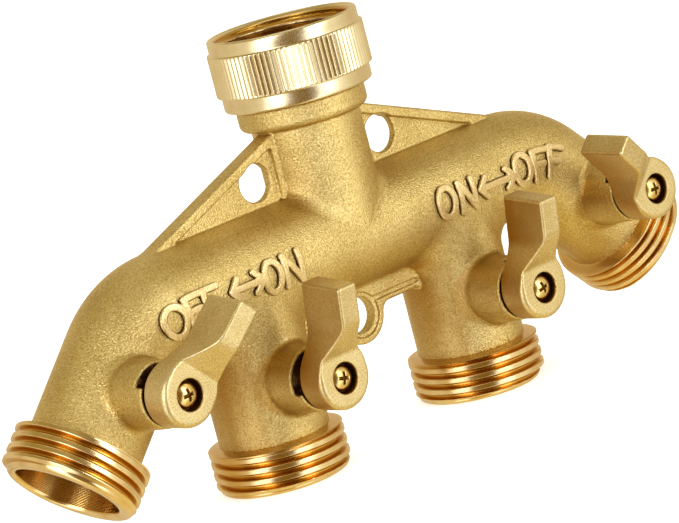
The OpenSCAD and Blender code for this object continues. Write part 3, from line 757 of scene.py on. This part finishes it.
def leverField(across, height, up):
    # a plan, hub and arm joined by a flare, carried up through a side profile that steps up behind the hub
    p = lever
    reach = np.hypot(across, up)
    end = sideOf(up, height, p["tip"], p["heel"])
    arm = cutRound(np.abs(across) - p["arm"], np.maximum(-up, end), p["tipEdge"])
    plan = joinRound(reach - p["hub"], arm, p["flare"])
    rise = cutRound(sideOf(up, height, p["shoulder"], p["tip"]),
                    sideOf(up, height, p["step"], p["shoulder"]), p["shoulderEdge"])
    top = joinRound(height - p["high"], rise, p["stepFillet"])
    under = np.maximum(p["low"] - height, -sideOf(up, height, p["foot"], p["heel"]))
    edge = p["edge"] + (p["hubEdge"] - p["edge"]) * smoothStep(3.5, 0.5, up)  # softer round the hub
    body = cutRound(cutRound(plan, top, edge), under, p["underEdge"])
    body = cutRound(body, -np.maximum(reach - p["well"], p["wellFloor"] - height), p["wellEdge"])
    angle = np.degrees(np.arctan2(np.abs(across), up))
    lug = np.maximum(np.maximum(reach - p["lugOuter"], p["lugInner"] - reach),
                     np.maximum((angle - p["lugHalf"]) * reach * math.pi / 180, p["lugLow"] - height))
    return np.minimum(body, np.maximum(lug, height - p["lugHigh"]))


points, faces, normals = fieldPiece("lever", leverField, (-7.2, 15.9, -7.2), (7.2, 34.4, 21.0), lever["grid"])
reach, height = np.hypot(points[:, 0], points[:, 2]), points[:, 1]
# painted shade in the screw well and under the hub, where little light reaches
inWell = np.minimum((lever["well"] + 0.25 - reach) / 0.2, (lever["high"] - 0.2 - height) / 0.5)
underHub = np.minimum((lever["low"] + 0.15 - height) / 0.15, (7.0 - reach) / 0.5)
shade = np.maximum(inWell, underHub)
for i in valves:
    centre, along, side = valves[i]
    put = np.stack([side, front, along])
    placed, turned = centre + points @ put, normals @ put
    outward = faces[:, ::-1] if np.linalg.det(put) < 0 else faces  # two of the levers are mirrored
    # painted shade where the casting encloses the lever's faces
    piece = makePiece(f"leverArm{i}", placed, outward, turned, shade=shade,
                      shelter=2.2 * shelter(placed, turned))
    dress(piece, f"valve_{i}_rotor", "lever_brass", leverBrass, f"valve_{i}_lever")

# pan-head screws with a cross recess. Rim holds rows of height, radius and shade, from the crown's edge round
# to the middle of the underside
screw = dict(seat=23.0, crown=2.5, radius=2.15, dome=0.65, slotHalf=0.3, slotReach=1.2, slotDeep=0.6,
             around=160, turn=0.35, turnEach=0.5,
             rim=((1.7, 2.32, 0), (1.5, 2.43, 0.2), (1.25, 2.48, 0.6), (0.0, 2.48, 0.9), (0.0, 0.0, 0.9)))


def screwGrid():
    # domed top as a height over the radius and the angle, a rounded rim, a side and a flat underside
    p = screw
    angle = np.linspace(0, 2 * np.pi, p["around"], endpoint=False)[None, :]
    r = np.linspace(0.0, p["radius"], 46)[:, None]
    a, b = np.abs(r * np.cos(angle)), np.abs(r * np.sin(angle))
    cross = np.minimum(np.maximum(a - p["slotReach"], b - p["slotHalf"]),
                       np.maximum(b - p["slotReach"], a - p["slotHalf"]))
    cut = smoothStep(0.1, -0.18, cross)
    top = p["crown"] - p["dome"] * (r / p["radius"]) ** 2.2 - p["slotDeep"] * cut
    # painted shade in the cross recess and under the head
    rows = [(top, r + 0 * angle, cut), turnedRows(p["rim"], angle)]
    height, radius, shade = (np.concatenate([k[m] for k in rows]) for m in range(3))
    return height + p["seat"], radius, angle, shade


height, radius, angle, shade = screwGrid()
faces = gridFaces(*radius.shape)
for i in valves:
    turn = angle + screw["turn"] + screw["turnEach"] * i
    points = onValve(i, radius * np.cos(turn), height, radius * np.sin(turn))
    piece = makePiece(f"leverScrew{i}", points.reshape(-1, 3), faces, sharpAngle=55, shade=shade)
    dress(piece, f"valve_{i}_rotor", "screw_brass", screwBrass, f"valve_{i}_lever_screw")
print("levers and screws made")

# camera, placed by its distance from the target, its azimuth round the upright and its elevation, in degrees
look = dict(target=(-4.2, -4.3, -40.6), azimuth=-39.07, elevation=10.73, roll=14.58, distance=745.0, lens=202.3,
            sensor=36.0)
a, e, r = (math.radians(look[k]) for k in ("azimuth", "elevation", "roll"))
ahead = Vector((-math.sin(a) * math.cos(e), math.cos(a) * math.cos(e), -math.sin(e)))
level = ahead.cross(Vector((0, 0, 1))).normalized()
lift = level.cross(ahead)
right, upward = level * math.cos(r) - lift * math.sin(r), lift * math.cos(r) + level * math.sin(r)
camera = bpy.data.objects.new("camera", bpy.data.cameras.new("camera"))
bpy.context.scene.collection.objects.link(camera)
stand = Vector(look["target"]) - ahead * look["distance"]
camera.matrix_world = Matrix.Translation(stand * mm) @ Matrix((right, upward, -ahead)).transposed().to_4x4()
camera.data.lens, camera.data.sensor_width = look["lens"], look["sensor"]
camera.data.clip_start, camera.data.clip_end = 0.01, 20.0
bpy.context.scene.camera = camera

# floor of matt white paper under the object, with its half width in metres. For the camera alone the paper
# glows a little, so that it stays white with only a faint shadow
paper = dict(half=30, colour="#FBFBFA", rough=0.9, glow=0.45)
floorMesh = bpy.data.meshes.new("floor")
floorMesh.from_pydata([(x * paper["half"], y * paper["half"], cadBox[0][2])
                       for x, y in ((-1, -1), (1, -1), (1, 1), (-1, 1))], [], [(0, 1, 2, 3)])
floor = bpy.data.objects.new("floor", floorMesh)
bpy.context.scene.collection.objects.link(floor)
floor.visible_glossy = False  # the brass shows the studio's walls below the horizon too
floorPaper, tree, shader, place = newMaterial("whitePaperFloor")
shader.inputs["Base Color"].default_value = colour(paper["colour"])
shader.inputs["Roughness"].default_value = paper["rough"]
shader.inputs["Emission Color"].default_value = (1, 1, 1, 1)
cameraRay = addNode(tree, "ShaderNodeLightPath").outputs["Is Camera Ray"]
glow = addNode(tree, "ShaderNodeMath", {0: cameraRay, 1: paper["glow"]}, operation="MULTIPLY")
tree.links.new(glow.outputs[0], shader.inputs["Emission Strength"])
floor.data.materials.append(floorPaper)
print("camera and floor made")

# the studio that the metal mirrors: a pale room with a dark gap in front between two tall white screens, and a
# dimmer ceiling. Angles are in degrees round the upright from the facing direction, and lean turns them with
# height. Ceiling and underneath fade in between two heights, which run from -1 straight down to 1 straight up
studio = dict(facing=-39.07, lean=-0.45, level=1.94, diffuse=1.0, ceiling="#7C6B38", ceilingFrom=(0.35, 0.8),
              underneath="#BCA870", underneathFrom=(-0.5, -0.95),
              walls=((-180, "#A8987A"), (-108, "#A8987A"), (-80, "#AFA286"), (-52, "#AFA286"), (-45, "#FFFFFF"),
                     (-20, "#FFFFFF"), (-13, "#664B10"), (31, "#58400C"), (37, "#FFFFFF"), (60, "#FFFFFF"),
                     (68, "#BFB69C"), (85, "#BFB69C"), (112, "#A8987A"), (180, "#A8987A")))
world = bpy.data.worlds.new("studio")
bpy.context.scene.world = world
world.use_nodes = True
tree = world.node_tree
tree.nodes.clear()
a = math.radians(studio["facing"])
ray = addNode(tree, "ShaderNodeTexCoord").outputs["Generated"]
toward = addNode(tree, "ShaderNodeVectorMath", {0: ray, 1: (math.sin(a), -math.cos(a), 0)},
                 operation="DOT_PRODUCT")
aside = addNode(tree, "ShaderNodeVectorMath", {0: ray, 1: (math.cos(a), math.sin(a), 0)},
                operation="DOT_PRODUCT")
height = addNode(tree, "ShaderNodeSeparateXYZ", {0: ray}).outputs["Z"]
bearing = addNode(tree, "ShaderNodeMath", {0: aside.outputs["Value"], 1: toward.outputs["Value"]},
                  operation="ARCTAN2")
leaning = addNode(tree, "ShaderNodeMath", {0: height, 1: studio["lean"], 2: bearing.outputs[0]},
                  operation="MULTIPLY_ADD")
share = addNode(tree, "ShaderNodeMapRange", {"Value": leaning.outputs[0], "From Min": -math.pi,
                                             "From Max": math.pi})
walls = rampOf(tree, share.outputs[0], *((d / 360 + 0.5, colour(c)) for d, c in studio["walls"]))
toCeiling, toUnder = (addNode(tree, "ShaderNodeMapRange", {"Value": height, "From Min": start, "From Max": end},
                              interpolation_type="SMOOTHSTEP")
                      for start, end in (studio["ceilingFrom"], studio["underneathFrom"]))
upper = addNode(tree, "ShaderNodeMixRGB", {"Fac": toCeiling.outputs[0], "Color1": walls,
                                           "Color2": colour(studio["ceiling"])})
room = addNode(tree, "ShaderNodeMixRGB", {"Fac": toUnder.outputs[0], "Color1": upper.outputs[0],
                                          "Color2": colour(studio["underneath"])})
# mirrored rays meet the room, the camera's own meet plain white, and all others an even white light
kinds = addNode(tree, "ShaderNodeLightPath")
plainRay = addNode(tree, "ShaderNodeMath", {0: kinds.outputs["Is Camera Ray"],
                                            1: kinds.outputs["Is Transmission Ray"]}, operation="MAXIMUM")
roomLight = addNode(tree, "ShaderNodeBackground", {"Color": room.outputs[0], "Strength": studio["level"]})
fillLight = addNode(tree, "ShaderNodeBackground", {"Color": (1, 1, 1, 1), "Strength": studio["diffuse"]})
white = addNode(tree, "ShaderNodeBackground", {"Color": (1, 1, 1, 1), "Strength": 1.0})
lit = addNode(tree, "ShaderNodeMixShader", {"Fac": kinds.outputs["Is Glossy Ray"], 1: fillLight.outputs[0],
                                            2: roomLight.outputs[0]})
shown = addNode(tree, "ShaderNodeMixShader", {"Fac": plainRay.outputs[0], 1: lit.outputs[0],
                                              2: white.outputs[0]})
addNode(tree, "ShaderNodeOutputWorld", {"Surface": shown.outputs[0]})

# soft rectangular lamps, each with its width and height, its place in metres and its power in watts
lamps = dict(leftBox=(0.35, 0.7, (-0.94, -0.34, 0.25), 2.5), rightBox=(0.35, 0.7, (0.14, -0.99, 0.25), 2.5),
             topBox=(0.9, 0.6, (0.1, 0.2, 1.2), 1.5))
lampAim = Vector((0, 0, -0.04))  # the object's middle
for name, (width, height, place, power) in lamps.items():
    lamp = bpy.data.lights.new(name, "AREA")
    lamp.shape, lamp.size, lamp.size_y, lamp.energy = "RECTANGLE", width, height, power
    box = bpy.data.objects.new(name, lamp)
    bpy.context.scene.collection.objects.link(box)
    turn = (lampAim - Vector(place)).to_track_quat("-Z", "Y").to_matrix().to_4x4()
    box.matrix_world = Matrix.Translation(place) @ turn
bpy.context.scene.view_settings.view_transform = "Standard"
print("studio made")

# finishes of the inner pieces, by the ends of their nodes' names
inner = {"o_ring": blackRubber, "ring": ringSteel, "washer": blackRubber, "seat_retainer": threadBrass,
         "inner_seat": seatPlastic, "outer_seat": seatPlastic, "ball": chromePlate, "stem": threadBrass}
for name, node in nodes.items():
    kind = next((k for k in inner if name.endswith(k)), None)
    if kind:
        node.data.materials.clear()
        node.data.materials.append(inner[kind])
print("inner pieces finished")
